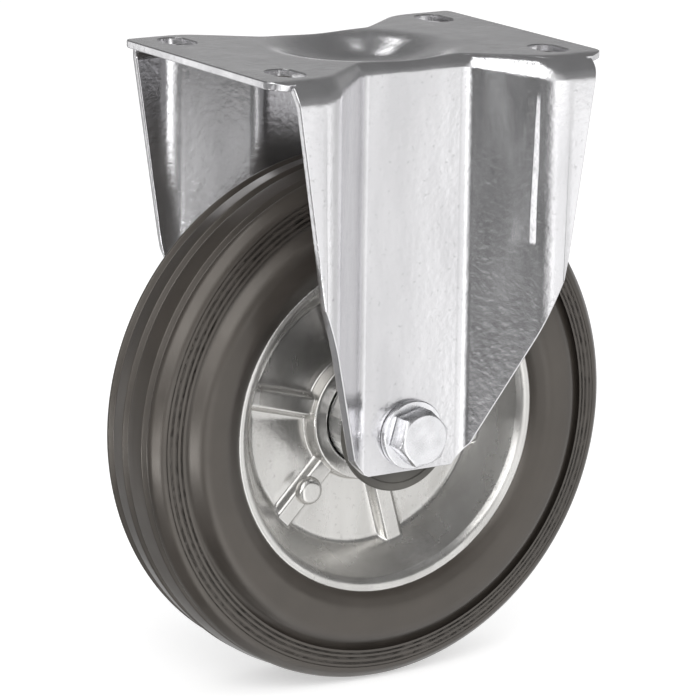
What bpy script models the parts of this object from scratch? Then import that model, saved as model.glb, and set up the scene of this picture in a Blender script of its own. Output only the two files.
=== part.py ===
"""Fixed castor: pressed steel fork, solid rubber tyre on two pressed rim discs, roller bearing hub.

Metres, +Z up. X is the rolling direction and Y the axle. The origin lies on the floor under
the middle of the axle, and the mounting face of the top plate is at PLATE_TOP_Z.
"""
import math

import bmesh
import bpy
from mathutils import Vector

MM = 0.001

# Gaps
SEAT_GAP = 0.3 * MM        # left between two pieces that seat on each other
BORE_GAP = 0.3 * MM        # round a shaft in its hole, on the radius

# Tyre
TYRE_RADIUS = 100 * MM
TYRE_WIDTH = 50 * MM       # over the bulging side walls
TREAD_WIDTH = 32 * MM      # between the shoulders
TREAD_CROWN = 1.2 * MM     # how far the tread falls from its middle to the shoulders
SHOULDER_WIDTH = 40 * MM
SHOULDER_DROP = 3.5 * MM   # radial depth of the rounded shoulder
CREASE_SHARE = 0.607       # of the way from rim to tread: the fold under the shoulder
CREASE_WIDTH = 38.4 * MM
BULGE_SHARES = (0.19, 0.46)   # of the way from rim to tread: where the tyre is widest
GROOVE_SPACING = 12.4 * MM
GROOVE_WIDTH = 4.4 * MM
GROOVE_FLOOR = 2.2 * MM
GROOVE_DEPTH = 2 * MM
TYRE_FOOT_WIDTH = 3 * MM   # blunt inner edge between the rim discs
TYRE_STEPS = 48

# Rim discs
RIM_SHEET = 2.2 * MM
RIM_RADIUS = 64.4 * MM
RIM_WIDTH = 42.4 * MM
LIP_WIDTH = 4.3 * MM       # radial width of the flared lip
LIP_RISE = 2.2 * MM
WELL_RADIUS = 49.3 * MM    # where the flat web turns up into the wall
BOSS_RADIUS = 24.8 * MM
BOSS_SLOPE = 0.8 * MM
BOSS_HEIGHT = 6 * MM
RIB_COUNT = 6
RIB_HEIGHT = 3.6 * MM
RIB_TOP_WIDTH = 5.5 * MM
RIB_FOOT_WIDTH = 11 * MM
RIB_ANGLE = 165.3          # degrees from +X towards +Z, first rib
WEB_COLUMNS = 4            # facets between two ribs

# Rim rivets
RIVET_COUNT = 3
RIVET_CIRCLE = 36 * MM
RIVET_RADIUS = 2.6 * MM
RIVET_HEAD_RADIUS = 5.4 * MM
RIVET_HEAD_HEIGHT = 3 * MM

# Hub, bearing and axle
HUB_LENGTH = 50 * MM
HUB_RADIUS = 18 * MM
HUB_BORE_RADIUS = 15 * MM
SLEEVE_RADIUS = 10 * MM
ROLLER_COUNT = 8
ROLLER_LENGTH = 39 * MM
CAGE_WALL = 2 * MM
CAGE_END = 2.2 * MM        # solid ring of the cage beyond its windows
CAP_RADIUS = 23.7 * MM
CAP_THICKNESS = 4 * MM
CAP_SPIGOT = 2 * MM
CAP_TO_FORK = 4 * MM
BOLT_RADIUS = 6 * MM
BOLT_POINT = 4.5 * MM      # thread that stands out of the nut
HEX_ACROSS_FLATS = 19 * MM
HEAD_TURN = 14             # degrees, first corner of the head from +X towards +Z
HEAD_HEIGHT = 7.5 * MM
NUT_HEIGHT = 10 * MM
WASHER_RADIUS = 13 * MM
WASHER_THICKNESS = 2.5 * MM

# Fork
FORK_SHEET = 3 * MM
AXLE_TO_PLATE = 139.8 * MM
PLATE_LENGTH = 143.5 * MM
TIP_HALF_WIDTH = 51.5 * MM   # where the short edge of the plate ends
WING_FACE = 60 * MM        # outer face of a leg beside its recess, from the middle plane
RECESS_HALF_WIDTH = 22.5 * MM
WING_START = 47.5 * MM     # where the sloping side of the recess meets the wing
RECESS_FILLET = 8 * MM
WING_FILLET = 12 * MM
BEND_RADIUS = 9.5 * MM     # outside radius from plate to leg at the wings
RECESS_BEND_RADIUS = 5 * MM
PLATE_OVERHANG = 7.8 * MM  # of each tip past the leg
KNEE_HALF_WIDTH = 52 * MM
KNEE_HEIGHT = 57.6 * MM    # above the axle
FOOT_HALF_WIDTH = 25.1 * MM
FOOT_HEIGHT = -6.7 * MM
TOE_HALF_WIDTH = 18.7 * MM
TOE_HEIGHT = -14.4 * MM
TIP_CORNER = 6 * MM
TIP_RETURN = 4 * MM        # along Y, from the tip's corner back to the leg's edge
KNEE_CORNER = 12 * MM
TOE_CORNER = 2 * MM
DISH_RADIUS = 38 * MM
DISH_FLOOR_RADIUS = 8 * MM
DISH_DEPTH = 8 * MM
DISH_PITCH = 4.2 * MM      # spacing of the surface lines across the dish
PLATE_ROWS = 7             # surface lines from the middle plane to the bend
BEND_ROWS = 4
SLOT_INSET_X = 15.2 * MM   # from the plate's short edge to a slot's middle
SLOT_INSET_Y = 21.7 * MM   # from a wing's face to a slot's middle
SLOT_WIDTH = 11 * MM
SLOT_LENGTH = 18 * MM

# Worked out from the sizes above
AXLE_Z = TYRE_RADIUS
PLATE_TOP_Z = AXLE_Z + AXLE_TO_PLATE
CAP_FACE = HUB_LENGTH / 2 + SEAT_GAP + CAP_THICKNESS
PANEL_INNER = CAP_FACE + CAP_TO_FORK
PANEL_FACE = PANEL_INNER + FORK_SHEET
WASHER_FACE = PANEL_FACE + SEAT_GAP + WASHER_THICKNESS
SHAFT_HOLE = BOLT_RADIUS + BORE_GAP
WEB_FACE = SEAT_GAP / 2 + RIM_SHEET
RIB_FACE = WEB_FACE + RIB_HEIGHT
ROLLER_RADIUS = (HUB_BORE_RADIUS - SLEEVE_RADIUS) / 2 - BORE_GAP
PITCH_RADIUS = (HUB_BORE_RADIUS + SLEEVE_RADIUS) / 2
SIDE_HEIGHT = TYRE_RADIUS - RIM_RADIUS
CREASE_RADIUS = RIM_RADIUS + CREASE_SHARE * SIDE_HEIGHT
BULGE_LOW, BULGE_HIGH = (RIM_RADIUS + share * SIDE_HEIGHT for share in BULGE_SHARES)
LEG_HALF_WIDTH_TOP = PLATE_LENGTH / 2 - PLATE_OVERHANG
FAR = 1.5 * (PLATE_LENGTH + TYRE_RADIUS)   # longer than anything that a cutter has to pass


def clear_scene():
    for obj in list(bpy.data.objects):
        bpy.data.objects.remove(obj)


def make_material(name, colour, roughness, metallic):
    material = bpy.data.materials.new(name)
    material.use_nodes = True
    shader = material.node_tree.nodes["Principled BSDF"]
    shader.inputs["Base Color"].default_value = (*colour, 1)
    shader.inputs["Roughness"].default_value = roughness
    shader.inputs["Metallic"].default_value = metallic
    material.diffuse_color = (*colour, 1)
    return material


def rounded(points, radii, steps=5):
    """Return an open line through points with each inner corner turned into an arc."""
    line = [Vector(points[0])]
    for before, corner, after, radius in zip(points, points[1:], points[2:], radii):
        corner = Vector(corner)
        back = (Vector(before) - corner).normalized()
        ahead = (Vector(after) - corner).normalized()
        turn = math.pi - back.angle(ahead)
        if radius <= 0 or turn < 1e-6:
            line.append(corner)
            continue
        reach = radius * math.tan(turn / 2)
        centre = corner + (back + ahead).normalized() * radius / math.cos(turn / 2)
        start = corner + back * reach - centre
        side = corner + ahead * reach - centre
        for step in range(steps + 1):
            part = step / steps
            mixed = start * math.sin((1 - part) * turn) + side * math.sin(part * turn)
            line.append(centre + mixed / math.sin(turn))
    line.append(Vector(points[-1]))
    return line


def offset_line(line, distance):
    """Shift an open line to its left by distance, with mitred corners."""
    shifted = []
    for index, point in enumerate(line):
        before = line[max(index - 1, 0)]
        after = line[min(index + 1, len(line) - 1)]
        normals = []
        for a, b in ((before, point), (point, after)):
            if (b - a).length > 0:
                along = (b - a).normalized()
                normals.append(Vector((-along.y, along.x)))
        normal = sum(normals, Vector((0, 0))).normalized()
        shifted.append(point + normal * distance / normal.dot(normals[0]))
    return shifted


def new_object(name, bm, material, location=(0, 0, 0)):
    mesh = bpy.data.meshes.new(name)
    bm.to_mesh(mesh)
    bm.free()
    obj = bpy.data.objects.new(name, mesh)
    bpy.context.collection.objects.link(obj)
    obj.location = location
    if material:
        mesh.materials.append(material)
    mesh.shade_smooth()
    mesh.set_sharp_from_angle(angle=math.radians(32))
    return obj


def closed_outward(bm):
    bmesh.ops.remove_doubles(bm, verts=bm.verts, dist=1e-7)
    bmesh.ops.recalc_face_normals(bm, faces=bm.faces)
    return bm


def turned(name, profile, material, steps, location):
    """Spin a closed profile of (radius, place along the axle) about the Y axis."""
    bm = bmesh.new()
    verts = [bm.verts.new((radius, along, 0)) for radius, along in profile]
    edges = [bm.edges.new((a, b)) for a, b in zip(verts, verts[1:] + verts[:1]) if a.co.x or b.co.x]
    bmesh.ops.spin(bm, geom=verts + edges, cent=(0, 0, 0), axis=(0, 1, 0), dvec=(0, 0, 0),
                   angle=2 * math.pi, steps=steps, use_merge=True)
    return new_object(name, closed_outward(bm), material, location)


def ring(name, inner, outer, start, end, material, steps, location, edge=0.0):
    """A turned ring between two places along the axle, with its outer edges chamfered."""
    profile = [(inner, start), (outer - edge, start), (outer, start + edge),
               (outer, end - edge), (outer - edge, end), (inner, end)]
    if edge == 0:
        profile = [(inner, start), (outer, start), (outer, end), (inner, end)]
    return turned(name, profile, material, steps, location)


def prism(name, outline, low, high, axis, location=(0, 0, 0)):
    """Extrude a closed outline along one axis: 'Y' takes (x, z) points, 'Z' takes (x, y)."""
    bm = bmesh.new()
    place = {"Y": lambda a, b, t: (a, t, b), "Z": lambda a, b, t: (a, b, t)}[axis]
    face = bm.faces.new([bm.verts.new(place(a, b, low)) for a, b in outline])
    moved = bmesh.ops.extrude_face_region(bm, geom=[face])["geom"]
    shift = Vector(place(0, 0, high - low))
    bmesh.ops.translate(bm, verts=[v for v in moved if isinstance(v, bmesh.types.BMVert)], vec=shift)
    return new_object(name, closed_outward(bm), None, location)


def circle(radius, steps):
    turns = [2 * math.pi * (step + 0.5) / steps for step in range(steps)]
    return [(radius * math.cos(turn), radius * math.sin(turn)) for turn in turns]


def mirrored(half):
    """Close a half outline, given from +X at the top to +X at the bottom, across X = 0."""
    return [(x, z) for x, z in half] + [(-x, z) for x, z in reversed(half)]


def boolean(obj, cutter, operation="DIFFERENCE"):
    modifier = obj.modifiers.new(cutter.name, "BOOLEAN")
    modifier.operation = operation
    modifier.solver = "EXACT"
    modifier.object = cutter
    cutter.hide_render = True
    cutter.display_type = "WIRE"


def solidify(obj, thickness):
    modifier = obj.modifiers.new("sheet", "SOLIDIFY")
    modifier.thickness = thickness
    modifier.offset = -1
    modifier.use_even_offset = True


def join_flats(obj):
    """Join the faces that lie in one plane, so that flat sheet is one face."""
    modifier = obj.modifiers.new("flats", "DECIMATE")
    modifier.decimate_type = "DISSOLVE"
    modifier.angle_limit = math.radians(0.1)


def leg_plan():
    """Outer face of a leg seen from above, as (x, y) from the middle out to +X."""
    corners = [(0, PANEL_FACE), (RECESS_HALF_WIDTH, PANEL_FACE), (WING_START, WING_FACE),
               (PLATE_LENGTH, WING_FACE)]
    return rounded(corners, (RECESS_FILLET, WING_FILLET))


def leg_columns():
    """The leg plan with extra points wherever the dish needs them."""
    plan = leg_plan()
    columns = []
    for a, b in zip(plan, plan[1:]):
        columns.append(a)
        span = min(b.x, DISH_RADIUS + DISH_PITCH) - a.x
        parts = max(1, round(span / DISH_PITCH)) if span > 0 else 1
        columns += [a.lerp(b, span * part / parts / (b.x - a.x)) for part in range(1, parts)]
        if a.x < DISH_RADIUS + DISH_PITCH < b.x and parts > 1:
            columns.append(a.lerp(b, span / (b.x - a.x)))
    columns.append(plan[-1])
    return columns


def dish_drop(x, y):
    """Depth of the round dish pressed into the middle of the plate."""
    part = (math.hypot(x, y) - DISH_FLOOR_RADIUS) / (DISH_RADIUS - DISH_FLOOR_RADIUS)
    part = min(max(part, 0.0), 1.0)
    return DISH_DEPTH * (1 + math.cos(math.pi * part)) / 2


def bend_radius(face):
    """Outside radius of the bend over a leg whose face is there: tighter over the recess."""
    part = (face - PANEL_FACE) / (WING_FACE - PANEL_FACE)
    return RECESS_BEND_RADIUS + (BEND_RADIUS - RECESS_BEND_RADIUS) * part


def sheet_section(x, face):
    """Outer face of the fork at one x, from the middle plane over the bend and down the leg."""
    radius = bend_radius(face)
    bend_start = face - radius
    bend_centre = AXLE_TO_PLATE - radius
    points = [(bend_start * row / PLATE_ROWS, AXLE_TO_PLATE) for row in range(PLATE_ROWS)]
    for row in range(BEND_ROWS + 1):
        turn = math.pi / 2 * row / BEND_ROWS
        points.append((bend_start + radius * math.sin(turn), bend_centre + radius * math.cos(turn)))
    points.append((face, 2 * TOE_HEIGHT))
    last = len(points) - 1
    return [(x, y, z - (dish_drop(x, y) if index < last else 0))
            for index, (y, z) in enumerate(points)]


def pressed_sheet(material):
    """The whole folded blank as one surface, thickened inwards."""
    right = [(column.x, column.y) for column in leg_columns()]
    columns = [(-x, face) for x, face in reversed(right[1:])] + right
    bm = bmesh.new()
    grid = []
    for x, face in columns:
        half = sheet_section(x, face)
        line = [(px, -py, pz) for px, py, pz in reversed(half[1:])] + half
        grid.append([bm.verts.new(point) for point in line])
    for left, right_line in zip(grid, grid[1:]):
        for row in range(len(left) - 1):
            bm.faces.new((left[row], right_line[row], right_line[row + 1], left[row + 1]))
    obj = new_object("fork_bracket", bm, material, (0, 0, AXLE_Z))
    solidify(obj, FORK_SHEET)
    join_flats(obj)
    return obj


def plate_outline():
    """Plan of the blank: the plate's tips run in to the narrower legs."""
    tip, leg = PLATE_LENGTH / 2, LEG_HALF_WIDTH_TOP
    back = TIP_HALF_WIDTH + TIP_RETURN
    quarter = rounded([(tip, 0), (tip, TIP_HALF_WIDTH), (leg, back), (leg, 2 * WING_FACE)],
                      (TIP_CORNER, TIP_CORNER / 2))[1:]
    right = [(x, -y) for x, y in reversed(quarter)] + [(x, y) for x, y in quarter]
    return right + [(-x, -y) for x, y in right]


def side_outline():
    """Side view of the fork: full length at the plate, then the tapering leg down to its toe."""
    under_plate = AXLE_TO_PLATE - FORK_SHEET - (BEND_RADIUS - FORK_SHEET) / 4
    half = rounded([(FAR, 2 * AXLE_TO_PLATE), (FAR, under_plate), (LEG_HALF_WIDTH_TOP, under_plate),
                    (KNEE_HALF_WIDTH, KNEE_HEIGHT), (FOOT_HALF_WIDTH, FOOT_HEIGHT),
                    (TOE_HALF_WIDTH, TOE_HEIGHT), (0, TOE_HEIGHT)],
                   (0, 0, KNEE_CORNER, TOE_CORNER, TOE_CORNER), steps=4)[:-1]
    return mirrored([(x, z) for x, z in half])


def slot_outline():
    reach = (SLOT_LENGTH - SLOT_WIDTH) / 2
    ends = []
    for x, y in circle(SLOT_WIDTH / 2, 24):
        ends.append((x, y + math.copysign(reach, y + 1e-9)))
    return ends


def build_fork(material):
    fork = pressed_sheet(material)
    boolean(fork, prism("plate_cut", plate_outline(), -FAR, FAR, "Z", (0, 0, AXLE_Z)), "INTERSECT")
    boolean(fork, prism("side_cut", side_outline(), -FAR, FAR, "Y", (0, 0, AXLE_Z)), "INTERSECT")
    boolean(fork, prism("axle_hole", circle(SHAFT_HOLE, 32), -FAR, FAR, "Y", (0, 0, AXLE_Z)))
    for sx in (-1, 1):
        for sy in (-1, 1):
            place = (sx * (PLATE_LENGTH / 2 - SLOT_INSET_X), sy * (WING_FACE - SLOT_INSET_Y), PLATE_TOP_Z)
            boolean(fork, prism(f"slot_{sx}_{sy}", slot_outline(), -2 * FORK_SHEET, FORK_SHEET, "Z", place))
    return fork


def rim_profile():
    """Visible face of a rim disc without its ribs, as (radius, distance from the middle plane)."""
    edge = RIM_WIDTH / 2
    corners = [(HUB_RADIUS + SEAT_GAP, WEB_FACE + BOSS_HEIGHT),
               (BOSS_RADIUS - BOSS_SLOPE, WEB_FACE + BOSS_HEIGHT), (BOSS_RADIUS, WEB_FACE),
               (WELL_RADIUS, WEB_FACE), (RIM_RADIUS - LIP_WIDTH, edge - LIP_RISE), (RIM_RADIUS, edge)]
    return rounded(corners, (1 * MM, 1 * MM, 7 * MM, 3 * MM), steps=2)


def rib_face(radius, base):
    """Height of a rib's crest over its foot: it merges with the boss and with the wall."""
    return max(base, RIB_FACE) if radius > BOSS_RADIUS - BOSS_SLOPE else base


def rim_columns(radius):
    """Directions of the surface lines at one radius, as (angle, 1 on a crest or 0 beside it)."""
    pitch = 2 * math.pi / RIB_COUNT
    foot = math.asin(RIB_FOOT_WIDTH / 2 / radius)
    crest = math.asin(RIB_TOP_WIDTH / 2 / radius)
    columns = []
    for rib in range(RIB_COUNT):
        middle = math.radians(RIB_ANGLE) + rib * pitch
        columns += [(middle - foot, 0), (middle - crest, 1), (middle + crest, 1)]
        columns += [(middle + foot + (pitch - 2 * foot) * step / WEB_COLUMNS, 0)
                    for step in range(WEB_COLUMNS)]
    return columns


def build_rim_disc(name, side, material):
    """One pressed disc, side -1 in front and 1 behind, with its ribs standing outwards."""
    bm = bmesh.new()
    rings = []
    for radius, base in rim_stations():
        line = []
        for angle, on_crest in rim_columns(radius):
            face = rib_face(radius, base) if on_crest else base
            line.append(bm.verts.new((radius * math.cos(angle), side * face, radius * math.sin(angle))))
        rings.append(line)
    for inner, outer in zip(rings, rings[1:]):
        for index in range(len(inner)):
            after = (index + 1) % len(inner)
            quad = (inner[index], outer[index], outer[after], inner[after])
            bm.faces.new(quad if side < 0 else tuple(reversed(quad)))
    obj = new_object(name, bm, material, (0, 0, AXLE_Z))
    solidify(obj, RIM_SHEET)
    for number, (x, z) in enumerate(rivet_places()):
        hole = prism(f"{name}_hole_{number}", circle(RIVET_RADIUS + BORE_GAP / 2, 16), -FAR, FAR, "Y",
                     (x, 0, AXLE_Z + z))
        boolean(obj, hole)
    return obj


def rim_stations():
    """The rim profile with one more station halfway along the web, where the ribs need it."""
    stations = []
    for a, b in zip(rim_profile(), rim_profile()[1:]):
        stations.append(a)
        if b.x - a.x > (WELL_RADIUS - BOSS_RADIUS) / 3 and a.x > BOSS_RADIUS - BOSS_SLOPE:
            stations.append(a.lerp(b, 0.5))
    stations.append(rim_profile()[-1])
    return stations


def rivet_places():
    places = []
    for number in range(RIVET_COUNT):
        angle = math.radians(RIB_ANGLE + 360 / RIB_COUNT + 360 / RIVET_COUNT * number)
        places.append((RIVET_CIRCLE * math.cos(angle), RIVET_CIRCLE * math.sin(angle)))
    return places


def build_rivets(material):
    seat = RIB_FACE + SEAT_GAP
    head = rounded([(RIVET_HEAD_RADIUS, seat), (RIVET_HEAD_RADIUS, seat + RIVET_HEAD_HEIGHT),
                    (0, seat + RIVET_HEAD_HEIGHT)], (0.8 * RIVET_HEAD_HEIGHT,), steps=3)
    half = [(RIVET_RADIUS, seat)] + [(r, y) for r, y in head[:-1]] + [(0, seat + RIVET_HEAD_HEIGHT)]
    profile = half + [(r, -y) for r, y in reversed(half)]
    for number, (x, z) in enumerate(rivet_places(), start=1):
        turned(f"rim_rivet_{number}", profile, material, 16, (x, 0, AXLE_Z + z))


def groove(middle, crown):
    """The points of one tread groove, from the middle plane outwards."""
    edge, floor = GROOVE_WIDTH / 2, GROOVE_FLOOR / 2
    return [(crown, middle - edge), (crown - GROOVE_DEPTH, middle - floor),
            (crown - GROOVE_DEPTH, middle + floor), (crown, middle + edge)]


def past_lip(point):
    """Shift a point of the rim's edge outwards along the lip by the seat gap."""
    before, end = rim_profile()[-2:]
    return point + (end - before).normalized() * SEAT_GAP


def tyre_outside():
    """Half of the tyre's outer face, from the middle of the tread down to the rim's lip."""
    shoulder = TREAD_WIDTH / 2
    at_groove = TYRE_RADIUS - TREAD_CROWN * GROOVE_SPACING / shoulder
    middle = [point for point in groove(0, TYRE_RADIUS) if point[1] >= 0]
    side = rounded([(TYRE_RADIUS - TREAD_CROWN, shoulder),
                    (TYRE_RADIUS - TREAD_CROWN - SHOULDER_DROP, SHOULDER_WIDTH / 2),
                    (CREASE_RADIUS, CREASE_WIDTH / 2),
                    (BULGE_HIGH, TYRE_WIDTH / 2),
                    (BULGE_LOW, TYRE_WIDTH / 2),
                    past_lip(rim_profile()[-1])],
                   (4 * MM, 5 * MM, 7 * MM, 9 * MM), steps=2)
    return middle + groove(GROOVE_SPACING, at_groove) + [(r, y) for r, y in side]


def tyre_inside():
    """Half of the tyre's foot, held between the backs of the two rim discs."""
    back = offset_line(rim_profile(), -(RIM_SHEET + SEAT_GAP))
    back[-1] = past_lip(back[-1])
    held = [(r, y) for r, y in back if y > TYRE_FOOT_WIDTH / 2 and r > WELL_RADIUS]
    return list(reversed(held))


def build_tyre(material):
    half = tyre_outside() + tyre_inside()
    profile = half + [(r, -y) for r, y in reversed(half) if y > 0]
    return turned("tyre", profile, material, TYRE_STEPS, (0, 0, AXLE_Z))


def build_hub(steel, plastic):
    axle = (0, 0, AXLE_Z)
    half = HUB_LENGTH / 2
    ring("hub_tube", HUB_BORE_RADIUS, HUB_RADIUS, -half, half, steel, 36, axle)
    ring("axle_sleeve", SHAFT_HOLE, SLEEVE_RADIUS, -PANEL_INNER + SEAT_GAP, PANEL_INNER - SEAT_GAP,
         steel, 28, axle)
    for name, side in (("hub_cap_front", -1), ("hub_cap_rear", 1)):
        bore, spigot = SLEEVE_RADIUS + 2 * BORE_GAP, HUB_BORE_RADIUS - BORE_GAP
        seat = half + SEAT_GAP
        rim = rounded([(CAP_RADIUS, seat), (CAP_RADIUS, CAP_FACE), (bore, CAP_FACE)],
                      (1.2 * MM,), steps=2)
        profile = [(bore, half - CAP_SPIGOT), (spigot, half - CAP_SPIGOT), (spigot, seat)]
        profile += [(r, y) for r, y in rim]
        turned(name, [(r, side * y) for r, y in profile], plastic, 32, axle)


def build_bearing(steel, plastic):
    axle = (0, 0, AXLE_Z)
    window = ROLLER_LENGTH / 2 + SEAT_GAP
    end = window + CAGE_END
    cage = ring("roller_cage", PITCH_RADIUS - CAGE_WALL / 2, PITCH_RADIUS + CAGE_WALL / 2, -end, end,
                plastic, 40, axle)
    width = ROLLER_RADIUS + SEAT_GAP
    for number in range(ROLLER_COUNT):
        angle = 2 * math.pi * number / ROLLER_COUNT
        outline = [(PITCH_RADIUS - CAGE_WALL, -width), (PITCH_RADIUS + CAGE_WALL, -width),
                   (PITCH_RADIUS + CAGE_WALL, width), (PITCH_RADIUS - CAGE_WALL, width)]
        cutter = prism(f"cage_window_{number}", outline, -window, window, "Y", axle)
        cutter.rotation_euler = (0, -angle, 0)
        boolean(cage, cutter)
        place = (PITCH_RADIUS * math.cos(angle), 0, AXLE_Z + PITCH_RADIUS * math.sin(angle))
        half = ROLLER_LENGTH / 2
        profile = [(0, -half), (ROLLER_RADIUS, -half), (ROLLER_RADIUS, half), (0, half)]
        turned(f"roller_{number + 1}", profile, steel, 16, place)


def hexagon(first_corner):
    corner = HEX_ACROSS_FLATS / math.sqrt(3)
    return [(corner * math.cos(turn), corner * math.sin(turn))
            for turn in (math.radians(first_corner + 60 * step) for step in range(6))]


def chamfered_blank(name, start, end, both_ends, material, axle):
    """A round blank whose conical ends take the corners off a hexagon."""
    corner, flat = HEX_ACROSS_FLATS / math.sqrt(3) + 0.2 * MM, 0.47 * HEX_ACROSS_FLATS
    drop = (corner - flat) * math.tan(math.radians(30))
    inner = drop if both_ends else 0
    profile = [(0, start), (flat if both_ends else corner, start), (corner, start + inner),
               (corner, end - drop), (flat, end), (0, end)]
    return turned(name, profile, material, 36, axle)


def build_axle(steel):
    axle = (0, 0, AXLE_Z)
    for name, side in (("washer_front", -1), ("washer_rear", 1)):
        near, far = side * (PANEL_FACE + SEAT_GAP), side * WASHER_FACE
        ring(name, SHAFT_HOLE, WASHER_RADIUS, min(near, far), max(near, far), steel, 36, axle)

    nut_start = WASHER_FACE + SEAT_GAP
    point = nut_start + NUT_HEIGHT + BOLT_POINT
    head_start = WASHER_FACE + SEAT_GAP
    bolt = chamfered_blank("axle_bolt", head_start, head_start + HEAD_HEIGHT, False, steel, axle)
    bolt.data.transform(((1, 0, 0, 0), (0, -1, 0, 0), (0, 0, 1, 0), (0, 0, 0, 1)))
    bolt.data.flip_normals()
    boolean(bolt, prism("head_hexagon", hexagon(HEAD_TURN), -FAR, FAR, "Y", axle), "INTERSECT")
    chamfer = 1.2 * MM
    in_head = -head_start - HEAD_HEIGHT / 2
    shank = turned("bolt_shank", [(0, in_head), (BOLT_RADIUS, in_head), (BOLT_RADIUS, point - chamfer),
                                  (BOLT_RADIUS - chamfer, point), (0, point)], None, 32, axle)
    boolean(bolt, shank, "UNION")

    nut = chamfered_blank("axle_nut", nut_start, nut_start + NUT_HEIGHT, True, steel, axle)
    boolean(nut, prism("nut_hexagon", hexagon(0), -FAR, FAR, "Y", axle), "INTERSECT")
    boolean(nut, prism("nut_bore", circle(SHAFT_HOLE, 32), -FAR, FAR, "Y", axle))


def main():
    clear_scene()
    zinc = make_material("zinc_plated_sheet", (0.62, 0.62, 0.63), 0.35, 1.0)
    rim_zinc = make_material("rim_zinc", (0.55, 0.55, 0.54), 0.38, 1.0)
    bolt_steel = make_material("bright_bolt_steel", (0.75, 0.75, 0.76), 0.3, 1.0)
    rubber = make_material("black_rubber", (0.035, 0.034, 0.032), 0.6, 0.0)
    bearing_steel = make_material("bearing_steel", (0.6, 0.6, 0.6), 0.2, 1.0)
    grey_plastic = make_material("grey_plastic", (0.11, 0.11, 0.105), 0.55, 0.0)
    build_fork(zinc)
    build_rim_disc("rim_disc_front", -1, rim_zinc)
    build_rim_disc("rim_disc_rear", 1, rim_zinc)
    build_rivets(rim_zinc)
    build_tyre(rubber)
    build_hub(bearing_steel, grey_plastic)
    build_bearing(bearing_steel, grey_plastic)
    build_axle(bolt_steel)


main()
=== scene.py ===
"""Looks of the fixed castor: fine sheet, rim discs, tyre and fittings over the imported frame."""
import math

import bmesh
import bpy
from mathutils import Matrix, Vector


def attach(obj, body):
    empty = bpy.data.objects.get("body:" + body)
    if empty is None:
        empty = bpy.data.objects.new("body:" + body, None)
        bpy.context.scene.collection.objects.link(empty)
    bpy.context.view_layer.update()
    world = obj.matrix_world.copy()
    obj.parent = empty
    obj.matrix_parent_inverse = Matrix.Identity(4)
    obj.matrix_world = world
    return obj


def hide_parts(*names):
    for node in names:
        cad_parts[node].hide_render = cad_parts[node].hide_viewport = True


MM = 0.001
MERGE_DISTANCE = 1e-7
STRAIGHT_TURN = 1e-6       # radians
SHARP_ANGLE = 35           # degrees
LATHE_STEPS = 96
CIRCLE_STEPS = 64

# Camera, fitted to the photograph: degrees, pixels, millimetres from the middle of the axle
VIEW_AZIMUTH = 32.29
VIEW_ELEVATION = 13.69
VIEW_ROLL = 0.74
FOCAL_PIXELS = 4298
FRAME_PIXELS = 700
VIEW_DISTANCE = 1616 * MM
VIEW_ACROSS = -3.12 * MM
VIEW_UP = 23.26 * MM
SENSOR_WIDTH = 36          # millimetres

# Clearances
SEAT_GAP = 0.3 * MM        # left between two pieces that seat on each other
BORE_GAP = 0.3 * MM        # round a shaft in its hole, on the radius

# Places along the axle, from the middle plane
SHEET = 3 * MM
HUB_HALF_LENGTH = 25 * MM
CAP_THICKNESS = 4 * MM
CAP_TO_FORK = 4 * MM
WASHER_THICKNESS = 2.5 * MM
HEAD_HEIGHT = 7.5 * MM
NUT_HEIGHT = 10 * MM
BOLT_POINT = 4.5 * MM      # thread that stands out of the nut
CAP_FACE = HUB_HALF_LENGTH + SEAT_GAP + CAP_THICKNESS
PANEL_INNER = CAP_FACE + CAP_TO_FORK
PANEL_FACE = PANEL_INNER + SHEET
WASHER_FACE = PANEL_FACE + SEAT_GAP + WASHER_THICKNESS
HEAD_SEAT = WASHER_FACE + SEAT_GAP
BOLT_END = HEAD_SEAT + NUT_HEIGHT + BOLT_POINT

# Fork
AXLE_TO_PLATE = 139.8 * MM
PLATE_HALF_LENGTH = 71.75 * MM
TIP_HALF_WIDTH = 51.5 * MM
TIP_CORNER = 6 * MM
TIP_RETURN = 4 * MM
PLATE_OVERHANG = 7.8 * MM  # of each tip past the leg
LEG_HALF_WIDTH = PLATE_HALF_LENGTH - PLATE_OVERHANG
WING_FACE = 60 * MM
RECESS_HALF_WIDTH = 22.5 * MM
WING_START = 47.5 * MM
RECESS_FILLET = 8 * MM
WING_FILLET = 17 * MM
WING_BEND = 9.5 * MM
RECESS_BEND = 5 * MM
KNEE = (52 * MM, 57.6 * MM)
FOOT = (25.1 * MM, -6.7 * MM)
TOE = (18.7 * MM, -14.4 * MM)
KNEE_CORNER = 12 * MM
TOE_CORNER = 2 * MM
DISH_RADIUS = 38 * MM
DISH_FLOOR_RADIUS = 8 * MM
DISH_DEPTH = 8 * MM
SLOT_INSETS = (15.2 * MM, 21.7 * MM)   # of its middle, from the plate's short edge and a wing's face
SLOT_CENTRES = (PLATE_HALF_LENGTH - SLOT_INSETS[0], WING_FACE - SLOT_INSETS[1])
SLOT_RADIUS = 5.5 * MM
SLOT_REACH = 3.5 * MM
SLOT_STEPS = 48
SHEET_EDGE = 0.5 * MM      # rounding of a cut edge
SHEET_PITCH = 2.5 * MM     # spacing of the surface lines
BEND_ROWS = 10
SLIVER = 0.45 * MM         # points closer than this are joined
FLAT_TURN = 0.1            # edges that bend by fewer degrees are dissolved

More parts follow.
